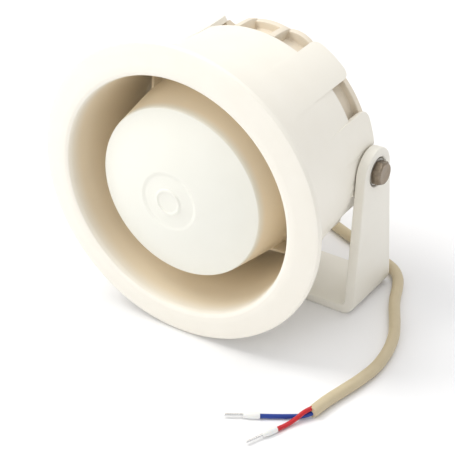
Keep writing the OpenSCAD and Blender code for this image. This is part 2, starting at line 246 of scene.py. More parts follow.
def cut(obj: bpy.types.Object, tools: Iterable[bpy.types.Object], sharp: float) -> None:
    """Cuts closed solids out of an object and deletes them.

    Args:
        obj: The object, also closed.
        tools: The solids.
        sharp: Angle in degrees above which an edge of the result isn't shaded smooth.
    """
    for tool in tools:
        trim = obj.modifiers.new("cut", "BOOLEAN")
        trim.operation = "DIFFERENCE"
        trim.solver = "EXACT"
        trim.object = tool
        apply_modifiers(obj)
        bpy.data.objects.remove(tool)
    obj.data.set_sharp_from_angle(angle=math.radians(sharp))


@dataclass(frozen=True)
class Axis:
    """A straight axis that round pieces are turned about.

    Attributes:
        origin: Where depth 0 lies, in millimetres.
        along: Unit vector of growing depth.
        right: Unit vector of clock angle 0.
    """

    origin: Vector
    along: Vector
    right: Vector

    def point(self, radius: float, clock: float, depth: float) -> Vector:
        """Returns the point at a radius, a clock angle in degrees and a depth."""
        up = self.right.cross(self.along)
        a = math.radians(clock)
        across = self.right * math.cos(a) + up * math.sin(a)
        return self.origin + across * radius + self.along * depth

    def moved(self, radius: float, clock: float, depth: float = 0.0) -> "Axis":
        """Returns a parallel axis through another point."""
        return Axis(self.point(radius, clock, depth), self.along, self.right)

    def turned(
        self, mesh: Mesh, outline: Sequence[Flat], segments: int, closed: bool = True
    ) -> None:
        """Turns an outline of (radius, depth) into a mesh.

        Args:
            mesh: The mesh it is added to.
            outline: Points as (radius, depth). An open outline starts and ends on the axis.
            segments: Segments round the axis.
            closed: Whether the outline's last point joins its first.
        """
        rings = [
            [self.point(max(r, 1e-4), 360 * k / segments, d) for k in range(segments)]
            for r, d in outline
        ]
        if closed:
            mesh.bands(rings, looped=True)
        else:
            mesh.solid(rings)

    def prism(self, mesh: Mesh, layers: Sequence[tuple[float, Sequence[Flat]]]) -> None:
        """Stacks flat outlines into a closed solid.

        Args:
            mesh: The mesh it is added to.
            layers: (depth, outline) in order, where every outline has the same count of
                (right, up) points.
        """
        up = self.right.cross(self.along)
        rings = [
            [self.origin + self.right * x + up * y + self.along * d for x, y in outline]
            for d, outline in layers
        ]
        mesh.solid(rings)

    def wall(self, mesh: Mesh, side: Sequence[Flat], clock: float, thick: float) -> None:
        """Makes a flat wall that runs out from the axis.

        Args:
            mesh: The mesh it is added to.
            side: Its side view, as (radius, depth).
            clock: Clock angle of its middle.
            thick: Its thickness.
        """
        rings = [
            [self.point(r, clock + face * math.degrees(thick / 2 / r), d) for r, d in side]
            for face in BOTH_SIDES
        ]
        mesh.solid(rings)


def tube(
    mesh: Mesh, line: Sequence[Vector], radius: Callable[[float], float], sides: int = 24
) -> None:
    """Sweeps a round tube along a line and closes its ends.

    Args:
        mesh: The mesh it is added to.
        line: Points of the centreline, in millimetres.
        radius: The tube's radius at a share of its length from 0 to 1.
        sides: Segments round the tube.
    """
    side = (line[1] - line[0]).orthogonal().normalized()
    rings: list[Ring] = []
    for i, p in enumerate(line):
        ahead = (line[min(i + 1, len(line) - 1)] - line[max(i - 1, 0)]).normalized()
        side = (side - ahead * side.dot(ahead)).normalized()
        other = ahead.cross(side)
        r = radius(i / (len(line) - 1))
        rings.append(
            [
                p + (side * math.cos(a) + other * math.sin(a)) * r
                for a in (math.tau * k / sides for k in range(sides))
            ]
        )
    mesh.solid(rings)


def pivot_axis(side: int, reach: float) -> Axis:
    """Returns the pivots' axis, outwards from a distance to one side of the middle."""
    return Axis(Vector((side * reach, 0, PIVOT_HEIGHT)), Vector((side, 0, 0)), Vector((0, 1, 0)))


# ---------------------------------------------------------------- finishes


def linear(colour: str) -> tuple[float, float, float, float]:
    """Returns an sRGB hex colour as linear red, green, blue and alpha."""
    levels = [int(colour[i : i + 2], 16) / 255 for i in (1, 3, 5)]
    values = [v / 12.92 if v <= 0.04045 else ((v + 0.055) / 1.055) ** 2.4 for v in levels]
    return (*values, 1.0)


def add_node(
    tree: bpy.types.NodeTree, kind: str, settings: dict | None = None, links: dict | None = None
) -> bpy.types.Node:
    """Adds a node with its settings and links.

    Args:
        tree: The node tree it is added to.
        kind: Blender's name for the node's type.
        settings: Attributes of the node by name, or values of its inputs by name or index.
        links: Output sockets by the name or index of the input each one feeds.

    Returns:
        The node.
    """
    node = tree.nodes.new(kind)
    for key, value in (settings or {}).items():
        if isinstance(key, str) and hasattr(node, key):
            setattr(node, key, value)
        else:
            node.inputs[key].default_value = value
    for key, socket in (links or {}).items():
        tree.links.new(socket, node.inputs[key])
    return node


@dataclass(frozen=True)
class Finish:
    """A surface finish on a principled shader, with a fine pattern in it.

    Attributes:
        name: The material and how its surface was made.
        colour: sRGB hex colour.
        shade: sRGB hex colour of the darker patches.
        roughness: Roughness where the surface is smoothest.
        spread: How much rougher its dullest patches are.
        patch_mm: Size of the patches.
        grain_mm: Size of the surface's fine texture.
        grain_depth: Depth of that texture in millimetres.
        ior: Index of refraction, or None to keep the default.
        metallic: 1 for a metal.
        subsurface: Share of light that scatters inside.
        deep: sRGB hex colour that the finish turns to along +Y, or empty.
        deep_span: Where along Y in millimetres that turn starts and ends.
    """

    name: str
    colour: str
    shade: str
    roughness: float
    spread: float = 0.08
    patch_mm: float = 12.0
    grain_mm: float = 0.5
    grain_depth: float = 0.004
    ior: float | None = 1.5
    metallic: float = 0.0
    subsurface: float = 0.0
    # deep: sRGB hex colour of painted shade and warm reflected light, which the finish turns to
    # along +Y, or empty.
    deep: str = ""
    deep_span: Flat = (0.0, 1.0)

    def pattern(self, tree: bpy.types.NodeTree, where: bpy.types.NodeSocket) -> tuple:
        """Returns the sockets of the patches and of the fine texture."""
        patches = add_node(
            tree,
            "ShaderNodeTexNoise",
            {"Scale": 1 / (self.patch_mm * MM), "Detail": 3.0, "Roughness": 0.55},
            {"Vector": where},
        )
        grain = add_node(
            tree,
            "ShaderNodeTexNoise",
            {"Scale": 1 / (self.grain_mm * MM), "Detail": 2.0, "Roughness": 0.5},
            {"Vector": where},
        )
        return patches.outputs["Fac"], grain.outputs["Fac"]

    def material(self) -> bpy.types.Material:
        """Builds the material, or returns it if it is already there."""
        made = bpy.data.materials.get(self.name)
        if made:
            return made
        made = bpy.data.materials.new(self.name)
        made.use_nodes = True
        tree = made.node_tree
        tree.nodes.clear()
        place = add_node(tree, "ShaderNodeTexCoord")
        patches, grain = self.pattern(tree, place.outputs["Object"])
        tint = add_node(
            tree,
            "ShaderNodeMix",
            {"data_type": "RGBA", 6: linear(self.shade), 7: linear(self.colour)},
            {0: patches},
        )
        colour = tint.outputs[2]
        # painted shade and warm reflected light: the colour turns to the deep colour along +Y
        if self.deep:
            parts = add_node(
                tree, "ShaderNodeSeparateXYZ", links={"Vector": place.outputs["Object"]}
            )
            start, end = (v * MM for v in self.deep_span)
            ramp = add_node(
                tree,
                "ShaderNodeMapRange",
                {"interpolation_type": "SMOOTHSTEP", "From Min": start, "From Max": end},
                {"Value": parts.outputs["Y"]},
            )
            colour = add_node(
                tree,
                "ShaderNodeMix",
                {"data_type": "RGBA", 7: linear(self.deep)},
                {0: ramp.outputs["Result"], 6: colour},
            ).outputs[2]
        gloss = add_node(
            tree,
            "ShaderNodeMapRange",
            {"From Min": 0.3, "From Max": 0.7, "To Min": self.roughness},
            {"Value": patches},
        )
        gloss.inputs["To Max"].default_value = self.roughness + self.spread
        bump = add_node(
            tree,
            "ShaderNodeBump",
            {"Strength": 0.5, "Distance": self.grain_depth * MM},
            {"Height": grain},
        )
        shader = add_node(
            tree,
            "ShaderNodeBsdfPrincipled",
            {
                "Metallic": self.metallic,
                "Subsurface Weight": self.subsurface,
            },
            {
                "Base Color": colour,
                "Roughness": gloss.outputs["Result"],
                "Normal": bump.outputs["Normal"],
            },
        )
        shader.inputs["Subsurface Radius"].default_value = (1.0, 0.8, 0.6)
        shader.inputs["Subsurface Scale"].default_value = 1.2 * MM
        if self.ior is not None:
            shader.inputs["IOR"].default_value = self.ior
        add_node(tree, "ShaderNodeOutputMaterial", links={"Surface": shader.outputs[0]})
        return made

    def dress(self, *objects: bpy.types.Object) -> None:
        """Gives the finish to objects."""
        for obj in objects:
            obj.data.materials.clear()
            obj.data.materials.append(self.material())


class Look(Enum):
    """The finishes of the siren's pieces."""

    # moulded ABS: a warm off-white with a soft, even sheen and a very fine spark texture
    SHELL = Finish("moulded_abs_cream", "#F8F4EA", "#F5F0E4", 0.36, ior=1.54, grain_mm=0.35)
    # the same ABS with painted shade and warm reflected light, turning a light tan in the depth of
    # the bell
    BELL_INSIDE = Finish(
        "moulded_abs_cream_painted_deep_shade",
        "#F8F4EA",
        "#F5F0E4",
        0.4,
        ior=1.54,
        grain_mm=0.35,
        deep="#F1E3C9",
        deep_span=(-71.0, -62.0),
    )
    # the same ABS from another tool, a shade cooler in front; its long side is painted peach for
    # shade and warm light reflected from the bell
    REFLECTOR = Finish(
        "moulded_abs_cool_cream_painted_warm_side",
        "#F2F1E8",
        "#EFEEE4",
        0.4,
        ior=1.54,
        deep="#F5E8D0",
        deep_span=(-66.0, -61.0),
    )
    # the cover's ABS, painted a little pinker and darker than the bell for the shade in the
    # crown's pockets, and duller
    COVER = Finish("moulded_abs_cream_painted_pocket_shade", "#EDE3D2", "#E7DBC7", 0.42, ior=1.54)
    # glass-filled ABS: the bracket is slightly duller
    BRACKET = Finish("moulded_abs_bracket", "#F4F1E8", "#F0ECE1", 0.38, ior=1.54)
    # zinc-plated steel gone brown-grey: dull metal with darker stains
    BOLT = Finish(
        "aged_zinc_steel", "#B5A795", "#6B5F53", 0.3, 0.22, 1.6, 0.3, 0.03, None, 1.0
    )
    # zinc-plated steel, bright
    SCREW = Finish(
        "zinc_plated_steel", "#B4B2AC", "#93908A", 0.28, 0.14, 2.0, 0.3, 0.01, None, 1.0
    )
    # turned brass: warm yellow metal
    BRASS = Finish("turned_brass", "#CDA85E", "#B8924C", 0.25, 0.1, 2.0, 0.3, 0.008, None, 1.0)
    # tin-plated copper crimp: pale metal with soft dents
    TIN = Finish("tinned_copper", "#9B9893", "#6E6B67", 0.26, 0.15, 1.0, 0.4, 0.03, None, 1.0)
    # enamelled copper winding: reddish metal with fine turns
    COPPER = Finish(
        "enamelled_copper", "#B5683C", "#96522E", 0.3, 0.1, 1.5, 0.25, 0.02, None, 1.0
    )
    # extruded flexible PVC: beige, satin, with faint marks along it
    SHEATH = Finish("extruded_pvc_beige", "#D0C2A3", "#C5B594", 0.42, 0.12, 6.0, 0.5, 0.015)
    # extruded PVC core insulation: strong colour with a wet-looking gloss
    BLUE = Finish("extruded_pvc_blue", "#1B3F9E", "#163585", 0.28, 0.08, 3.0, 0.3, 0.006)
    RED = Finish("extruded_pvc_red", "#CF1B27", "#B81520", 0.28, 0.08, 3.0, 0.3, 0.006)
    # moulded polypropylene ferrule sleeve: white, slightly see-through
    SLEEVE = Finish("moulded_pp_white", "#F6F6F4", "#EDEDEA", 0.34, subsurface=0.2)
    # moulded nitrile rubber: near black, dull
    RUBBER = Finish("moulded_rubber", "#23221F", "#1B1A18", 0.62, 0.12, 4.0, 0.4, 0.01)
    # moulded glass-filled nylon: dark grey, dull
    NYLON = Finish("moulded_nylon_black", "#26272A", "#1E1F21", 0.5, 0.12, 5.0, 0.4, 0.01)
    # ground ferrite: charcoal grey, faintly sparkling
    FERRITE = Finish("ground_ferrite", "#3B3B3E", "#2E2E31", 0.45, 0.15, 3.0, 0.3, 0.02, 2.0)
    # solder-masked glass laminate: deep green with a glossy skin
    BOARD = Finish("solder_mask_green", "#1F6B3C", "#185A31", 0.22, 0.1, 5.0, 0.8, 0.02)
    # paper laminate: brown and matt
    LAMINATE = Finish("paper_laminate", "#A98350", "#977243", 0.5, 0.1, 2.0, 0.4, 0.01)
    # formed polyimide film: amber, glossy
    FILM = Finish("formed_polyimide", "#C9963F", "#B78632", 0.2, 0.08, 4.0, 0.5, 0.01, 1.7)
    # resin-treated cotton: brown weave
    CLOTH = Finish("treated_cotton", "#6B4A2C", "#573A20", 0.75, 0.1, 1.0, 0.3, 0.05)
    # shrunk vinyl sleeve on the capacitors: dark blue, glossy
    VINYL = Finish("shrunk_vinyl_blue", "#16204E", "#111A42", 0.25, 0.08, 3.0, 0.4, 0.006)
    # lacquered ceramic resistor bodies: tan, glossy
    LACQUER = Finish("resistor_lacquer", "#C9AC7C", "#BA9C6B", 0.3, 0.08, 1.0, 0.3, 0.01)


# ---------------------------------------------------------------- sub-assemblies


@dataclass(frozen=True)
class Horn:
    """Bell and body in one moulding, with the crown of tabs at its back.

    Attributes:
        axis: The horn's axis, with depth 0 in the rim's plane.
        rim: Outside radius of the rim.
        crown_step: Depth where the crown's open pockets start.
        crown_end: Depth of the tabs' ends.
        crown_middle: Radius of the middle of the crown's wall.
        tab_round: Rounding of the tabs' corners.
        pockets: Clock angles between which the crown is open.
        proud: How far the tabs' outsides stand out of the body's cone.
        proud_from: Depth where they start to.
        flat_half: Half the clock angle of the sunk facets beside the pivots.
    """

    axis: Axis
    rim: float
    crown_step: float = 59.2
    crown_end: float = 74.0
    crown_middle: float = 52.3
    tab_round: float = 4.2
    pockets: tuple[Flat, ...] = (
        (24.9, 42.2),
        (65.3, 114.7),
        (137.8, 155.1),
        (204.9, 222.2),
        (245.3, 294.7),
        (317.8, 335.1),
    )
    proud: float = 0.45
    proud_from: float = 38.0
    flat_half: float = 7.0

    def outside(self) -> list[Flat]:
        """Returns the outline from the rim's back to the crown, as (radius, depth)."""
        return rounded(
            [
                (self.rim, 1.2, 0),
                (self.rim, 2.4, 0.8),
                (self.rim - 2.4, 3.1, 2),
                (65.6, 3.8, 6),
                (62.2, 6.0, 8),
                (59.6, 10.4, 12),
                (58.1, 15.5, 30),
                (56.9, 23.5, 60),
                (56.1, 31, 80),
                (55.0, 41, 80),
                (54.1, 50, 80),
                (53.45, self.crown_step - 0.6, 0),
            ],
            closed=False,
        )

    def inside(self) -> list[Flat]:
        """Returns the outline from the bore's floor out over the bell to the rim."""
        return rounded(
            [
                (11.4, 50.6, 0.2),
                (11.4, 48, 0.6),
                (48.6, 48, 2.5),
                (50.6, 45.8, 3),
                (51.4, 38, 60),
                (52.3, 28, 60),
                (53.2, 18, 60),
                (54.0, 10, 60),
                (54.9, 3.0, 6),
                (55.3, -0.6, 1.2),
                (55.9, -2.6, 1.0),
                (57.4, -3.1, 2.0),
                (60.0, -2.9, 8),
                (63.0, -2.1, 14),
                (66.0, -1.3, 20),
                (self.rim - 0.5, -0.2, 0.8),
                (self.rim, 1.2, 0.4),
            ],
            closed=False,
        )[:-1]

    def columns(self) -> list[tuple[float, float, float]]:
        """Returns (clock angle, tab's end depth, share of a tab) round the crown.

        The tabs have rounded corners, so columns stand close together at their edges.
        """
        degree = math.degrees(1 / self.crown_middle)
        step, gap = 1.6, 0.05
        clear, ramp = 0.8, 0.35
        rises = [share * self.tab_round for share in (0.0, 0.06, 0.2, 0.4, 0.7, 1.0)]
        made: list[tuple[float, float, float]] = []
        following = [*self.pockets[1:], tuple(a + 360 for a in self.pockets[0])]
        for (start, end), (after, _) in zip(self.pockets, following):
            wide = int((end - start) / step)
            for k in range(wide + 1):
                made.append((mix(start + gap, end - gap, k / wide), self.crown_step, 0.0))
            for rise in rises:
                made.append((end + rise * degree, self.tab_end(rise), 1.0))
            first, last = end + rises[-1] * degree, after - rises[-1] * degree
            wide = max(int((last - first) / step), 2)
            angles = [mix(first, last, k / wide) for k in range(1, wide)]
            middle = round((first + last) / 360) * 180
            if first < middle < last:
                for edge in (middle - self.flat_half, middle + self.flat_half):
                    angles = [a for a in angles if abs(a - edge) > clear]
                    angles += [edge - ramp, edge + ramp]
            for a in sorted(angles):
                raised = 0.0 if abs(a - middle) < self.flat_half else 1.0
                made.append((a, self.crown_end, raised))
            for rise in reversed(rises):
                made.append((after - rise * degree, self.tab_end(rise), 1.0))
        return made

    def tab_end(self, from_edge: float) -> float:
        """Returns the depth of a tab's end at a distance from its edge."""
        rest = self.tab_round - min(from_edge, self.tab_round)
        drop = self.tab_round - math.sqrt(max(self.tab_round**2 - rest**2, 0.0))
        return self.crown_end - drop

    def build(self) -> bpy.types.Object:
        """Builds the moulding as one closed mesh with two flat pivot bosses."""
        outside, inside = self.outside(), self.inside()
        columns = self.columns()
        rings: list[Ring] = []
        for radius, depth in outside:
            lift = smoothstep(self.proud_from, self.crown_step, depth) * self.proud
            rings.append(
                [self.axis.point(radius + lift * tab, a, depth) for a, _, tab in columns]
            )
        edge, half_wall = 0.35, 1.1
        outer, inner = self.crown_middle + half_wall, self.crown_middle - half_wall
        crown = [
            (outer, 0.0, 0.0),
            (outer, 1.0, -edge),
            (outer - edge, 1.0, 0.0),
            (inner + edge, 1.0, 0.0),
            (inner, 1.0, -edge),
        ]
        for radius, share, back in crown:
            rings.append(
                [
                    self.axis.point(
                        radius + (self.proud * tab if radius > self.crown_middle else 0.0),
                        a,
                        mix(self.crown_step, end, share) + back,
                    )
                    for a, end, tab in columns
                ]
            )
        for radius, depth in [(inner, self.crown_step - 1), (inner, 50.6), *inside]:
            rings.append([self.axis.point(radius, a, depth) for a, _, _ in columns])
        mesh = Mesh()
        mesh.bands(rings, looped=True)
        shell = mesh.piece("bell_and_body", sharp=42)
        return join("bell_and_body", [shell, *self.bosses(), *self.screw_posts()])

    def dress_inside(self, obj: bpy.types.Object, look: Finish) -> None:
        """Gives the bell's inside the finish with painted shade, in a second material slot."""
        obj.data.materials.append(look.material())
        mouth, floor = 55.8, 48.1
        for face in obj.data.polygons:
            from_axis = face.center / MM - self.axis.origin
            depth = from_axis.dot(self.axis.along)
            across = from_axis - self.axis.along * depth
            if across.length < mouth and depth < floor and face.normal.dot(across) < 0.5:
                face.material_index = 1

    def bosses(self) -> list[bpy.types.Object]:
        """Builds the flat pads that the pivot bolts' inserts sit in."""
        low, high, half = -11.4, 6.0, 9.3
        outline = [(low, -half, 0.6), (high, -half, 2.5), (high, half, 2.5), (low, half, 0.6)]
        shape = rounded(outline, 4)
        slim = rounded([(x * 0.98, y * 0.97, r) for x, y, r in outline], 4)
        made = []
        for side in BOTH_SIDES:
            mesh = Mesh()
            pivot_axis(side, 47.6).prism(mesh, [(0, shape), (5.3, shape), (5.6, slim)])
            made.append(mesh.piece("boss"))
        return made

    def screw_posts(self) -> list[bpy.types.Object]:
        """Builds the posts inside the body that the cover's screws go into."""
        post = [(1.7, 51), (3.3, 51), (3.3, 75.3), (3.1, 75.5), (1.7, 75.5)]
        made = []
        for clock in SCREW_CLOCKS:
            mesh = Mesh()
            self.axis.moved(SCREW_RING, clock).turned(mesh, post, 20)
            made.append(mesh.piece("post"))
        return made


def join(name: str, objects: Sequence[bpy.types.Object]) -> bpy.types.Object:
    """Joins objects into one mesh under a new name."""
    mesh = bmesh.new()
    for obj in objects:
        mesh.from_mesh(obj.data)
        bpy.data.objects.remove(obj)
    data = bpy.data.meshes.new(name)
    mesh.to_mesh(data)
    mesh.free()
    made = bpy.data.objects.new(name, data)
    bpy.context.scene.collection.objects.link(made)
    return made


@dataclass(frozen=True)
class Reflector:
    """Domed disc with a long cup behind it, held by four spokes inside the bell.

    Attributes:
        axis: The horn's axis.
        disc: Radius of the disc.
        spoke: Thickness of the spokes.
    """

    axis: Axis
    disc: float = 39.6
    spoke: float = 2.0

    def dome(self, radius: float) -> float:
        """Returns the depth of the disc's front at a radius."""
        sphere = 83.4
        return -7.5 + sphere - math.sqrt(sphere**2 - radius**2)

    def build(self) -> bpy.types.Object:
        """Builds the disc and cup by turning, and adds the spokes and their feet."""
        front = [(0, self.dome(0) + 0.55, 0), (4.7, self.dome(4.7) + 0.5, 0.6)]
        front += [(5.1, self.dome(5) - 0.05, 0.5), (6.0, self.dome(6) - 0.05, 0.5)]
        front += [(6.4, self.dome(6.4) + 0.55, 0.6), (12.2, self.dome(12.2) + 0.7, 2)]
        front += [(13.6, self.dome(13.6), 2)]
        front += [(r, self.dome(r), 40) for r in (17, 21, 25, 29, 33, 36.5)]
        front += [(self.disc - 0.4, self.dome(38.9), 0.5), (self.disc, 3.1, 0.4)]
        back = [
            (39.9, 5, 6),
            (41, 12, 60),
            (42.2, 20, 60),
            (43.2, 27, 60),
            (44.4, 36, 60),
            (45, 43, 0.8),
            (43.2, 43, 0.8),
            (42.6, 36, 60),
            (41.4, 26, 60),
            (40.4, 20, 60),
            (39.2, 12, 60),
            (38.2, 5.6, 3),
            (36.0, 3.3, 6),
            (32, 1.2, 60),
            (22, -2.3, 60),
            (0, -4.2, 0),
        ]
        mesh = Mesh()
        self.axis.turned(mesh, rounded([*front, *back], 6, closed=False), 192, closed=False)
        cup = mesh.piece("cup", sharp=42)
        return join("reflector", [cup, *self.spokes()])

    def spokes(self) -> list[bpy.types.Object]:
        """Builds the spokes, which slope from the cup out to the bell's wall."""
        side = [(41.4, 24.5), (43.2, 26.4), (51.6, 35.5), (50.9, 43.5), (50.5, 45.6)]
        side += [(50.1, 47), (48.6, 48), (42.8, 48), (42.4, 42)]
        foot = rounded([(0, 41, 0), (3, 41, 0.6), (3, 48, 0.2), (0, 48, 0)], 3, closed=False)
        foot_ring = 46.6
        made = []
        for clock in SPOKE_CLOCKS:
            mesh = Mesh()
            self.axis.wall(mesh, side, clock, self.spoke)
            made.append(mesh.piece("spoke", bevel=0.3))
            mesh = Mesh()
            self.axis.moved(foot_ring, clock).turned(mesh, foot, 24, closed=False)
            made.append(mesh.piece("foot"))
        return made


@dataclass(frozen=True)
class RearCover:
    """Rear cover with thin ribs in the crown's pockets and four screw seats.

    Attributes:
        axis: The horn's axis.
        rib_clock: Clock angle of the rib in the top pocket's right half.
        rib_width: Thickness of the ribs.
        lobes: (start, end, height) of the flange's swellings, by clock angle.
        seat: Depth of the screw heads' seats.
        gap: Clock angles between which the flange is cut away, twice round.
    """

    axis: Axis
    rib_clock: float = 80.45
    rib_width: float = 3.0
    lobes: tuple[tuple[float, float, float], ...] = (
        (65.3, 78.8, 1.3),
        (245.3, 258.8, 1.3),
        (82.1, 97.9, 0.4),
        (262.1, 277.9, 0.4),
    )
    seat: float = 81.2
    gap: Flat = (101.2, 116.0)

    def swell(self, clock: float) -> float:
        """Returns how far the flange stands out at a clock angle."""
        for start, end, height in self.lobes:
            if start < clock < end:
                return height * math.sin(math.pi * (clock - start) / (end - start)) ** 0.7
        return 0.0

    def build(self) -> bpy.types.Object:
        """Builds the cover by turning, swells its flange, and adds ribs and screw seats."""
        outline = rounded(
            [
                (48.4, 53, 0.3),
                (50.9, 53, 0.4),
                (50.9, 59, 0.3),
                (47.6, 59, 0.5),
                (47.6, 71.5, 0.6),
                (50.9, 71.5, 0.6),
                (50.9, 74.5, 1.2),
                (48.6, 76.2, 4),
                (44, 79.6, 10),
                (39.5, 83.6, 5),
                (35.4, 86, 3),
                (0.5, 86, 0),
                (0.5, 83.6, 0),
                (34, 83.6, 2),
                (40, 79.4, 6),
                (45.1, 74, 3),
                (45.1, 58.6, 1),
                (48.4, 56, 1),
            ],
            5,
        )
        count = 240
        rings = []
        for r, d in outline:
            share = smoothstep(48.2, 50.4, r) * smoothstep(69.5, 71.2, d)
            ring = []
            for k in range(count):
                clock = 360 * k / count
                ring.append(self.axis.point(r + share * self.swell(clock), clock, d))
            rings.append(ring)
        mesh = Mesh()
        mesh.bands(rings, looped=True)
        cover = mesh.piece("cover", sharp=42)
        cut(cover, self.seats_cut(), sharp=42)
        disc = Mesh()
        self.axis.turned(disc, [(0, 83.7), (0.7, 83.7), (0.7, 86), (0, 86)], 24, closed=False)
        return join("rear_cover_moulding", [cover, disc.piece("middle"), *self.ribs()])

    def seats_cut(self) -> list[bpy.types.Object]:
        """Builds the solids that are cut away for the screws and the pivot bosses."""
        made = []
        well = [(0, 70, 0), (1.9, 70, 0), (1.9, self.seat, 0), (3.6, self.seat, 0.3)]
        well = rounded([*well, (3.8, 90, 0), (0, 90, 0)], 3, closed=False)
        for clock in SCREW_CLOCKS:
            mesh = Mesh()
            self.axis.moved(SCREW_RING, clock).turned(mesh, well, 32, closed=False)
            made.append(mesh.piece("well"))
        shape = [(-10, -9.8), (6.4, -9.8), (6.4, 9.8), (-10, 9.8)]
        for side in BOTH_SIDES:
            mesh = Mesh()
            pivot_axis(side, 47.2).prism(mesh, [(0, shape), (12, shape)])
            made.append(mesh.piece("flat"))
        corners = [(47.7, 70.9), (57, 70.9), (57, 79.2), (47.7, 79.2)]
        for turn in (0, 180):
            mesh = Mesh()
            clocks = [turn + mix(*self.gap, k / 12) for k in range(13)]
            mesh.solid([[self.axis.point(r, a, d) for r, d in corners] for a in clocks])
            made.append(mesh.piece("gap"))
        return made

    def ribs(self) -> list[bpy.types.Object]:
        """Builds the thin ribs."""
        side = [(46.6, 59.5), (53.4, 59.5), (53.0, 66), (52.4, 70.5), (51.4, 73.4), (50, 75)]
        side += [(46.6, 75)]
        made = []
        for clock in (self.rib_clock, 180 - self.rib_clock):
            for turn in (1, -1):
                mesh = Mesh()
                self.axis.wall(mesh, side, turn * clock, self.rib_width)
                made.append(mesh.piece("rib", bevel=0.4))
        return made


@dataclass(frozen=True)
class Bracket:
    """U bracket: a base plate with two tapered, round-ended arms.

    Attributes:
        half_width: Half the width over both arms.
        arm: Thickness of the arms.
        base: Thickness of the base.
        half_depth: Half the depth of the base.
        bend: Outside radius of the bends.
        end: Radius of the arms' ends.
        soft: Rounding of all edges.
        recess: Depth of the seats that the bolts' washers sit in.
    """

    half_width: float
    half_depth: float
    arm: float = 5.0
    base: float = 4.0
    bend: float = 6.0
    end: float = 11.0
    soft: float = 0.7
    recess: float = 1.8

    def depth_at(self, height: float, inset: float) -> float:
        """Returns half the arm's depth at a height, for an outline moved inwards."""
        reach = math.hypot(self.half_depth, PIVOT_HEIGHT)
        lean = math.atan2(-PIVOT_HEIGHT, self.half_depth) + math.acos(self.end / reach)
        touch_y = self.end * math.cos(lean)
        touch_z = PIVOT_HEIGHT + self.end * math.sin(lean)
        if height <= touch_z:
            return mix(self.half_depth, touch_y, max(height, 0.0) / touch_z) - inset
        rest = (self.end - inset) ** 2 - (height - PIVOT_HEIGHT) ** 2
        return math.sqrt(max(rest, 0.0))

    def stations(self, inset: float) -> list[tuple[Vector, Vector, float]]:
        """Returns (outer point, inner point, half depth) from the middle to one arm's end."""
        faces: list[tuple[Point, Point]] = []
        inner_bend = 2.0
        turn = self.half_width - self.bend
        inner_turn = self.half_width - self.arm - inner_bend
        for k in range(8):
            x = turn * k / 8
            faces.append(((x, 0, 0), (x, 0, self.base)))
        for k in range(9):
            a = math.radians(90 * k / 8)
            across, rise = math.sin(a), 1 - math.cos(a)
            outer = (turn + self.bend * across, 0, self.bend * rise)
            inner = (inner_turn + inner_bend * across, 0, self.base + inner_bend * rise)
            faces.append((outer, inner))
        reach = self.end - inset
        heights = [mix(self.bend + 1, PIVOT_HEIGHT, k / 10) for k in range(11)]
        heights += [
            PIVOT_HEIGHT + reach * math.sin(math.radians(90 * k / 22)) for k in range(1, 23)
        ]
        for z in heights:
            faces.append(((self.half_width, 0, z), (self.half_width - self.arm, 0, z)))
        return [(Vector(o), Vector(i), self.depth_at(o[2], inset)) for o, i in faces]

    def build(self) -> bpy.types.Object:
        """Builds the bracket in rounded layers from its outer to its inner face."""
        steps = 4
        turns = [math.radians(90 * k / steps) for k in range(steps + 1)]
        profile = [(self.soft * (1 - math.cos(t)), self.soft * (1 - math.sin(t))) for t in turns]
        mesh = Mesh()
        loops: list[Ring] = []
        # the last layer lies on the inner face
        layers = [(deep, inset, False) for deep, inset in profile]
        layers += [(deep, inset, True) for deep, inset in reversed(profile)]
        for deep, inset, from_inside in layers:
            half = self.stations(inset)
            full = [(s, 1) for s in reversed(half)] + [(s, -1) for s in half[1:]]
            loop: Ring = []
            for front, line in ((-1, full), (1, list(reversed(full)))):
                for (outer, inner, wide), side in line:
                    across = (inner - outer).normalized() * deep
                    p = inner - across if from_inside else outer + across
                    loop.append(Vector((p.x * side, front * wide, p.z)))
            loops.append(loop)
        count = len(loops[-1]) // 2
        made = mesh.bands(loops)
        for ring, flip in ((made[0], False), (made[-1], True)):
            for k in range(count - 1):
                quad = (ring[k], ring[k + 1], ring[2 * count - 2 - k], ring[2 * count - 1 - k])
                mesh.cap(quad, flip)
        bracket = mesh.piece("u_bracket_moulding", sharp=40)
        cut(bracket, self.holes(), sharp=40)
        return bracket

    def holes(self) -> list[bpy.types.Object]:
        """Builds the solids that are cut away for the pivot bolts and the base's screws."""
        made = []
        floor = Axis(Vector((0, 0, 0)), Vector((0, 0, 1)), Vector((1, 0, 0)))
        r, lip, spacing = 2.6, 0.4, 20
        hole = [(0, -2), (r + lip, -2), (r + lip, 0), (r, lip), (r, self.base - lip)]
        hole += [(r + lip, self.base), (r + lip, 6), (0, 6)]
        for x in (-spacing, spacing):
            mesh = Mesh()
            floor.moved(x, 0).turned(mesh, hole, 40, closed=False)
            made.append(mesh.piece("hole"))
        start, bore, well = 50, 3.05, 6.8
        seat = self.half_width - self.recess - start
        hole = [(0, 0), (bore, 0), (bore, seat), (well, seat), (well, seat + 1.4)]
        hole += [(well + lip, seat + 1.8), (well + lip, 20), (0, 20)]
        for side in BOTH_SIDES:
            mesh = Mesh()
            pivot_axis(side, start).turned(mesh, hole, 64, closed=False)
            made.append(mesh.piece("hole"))
        return made


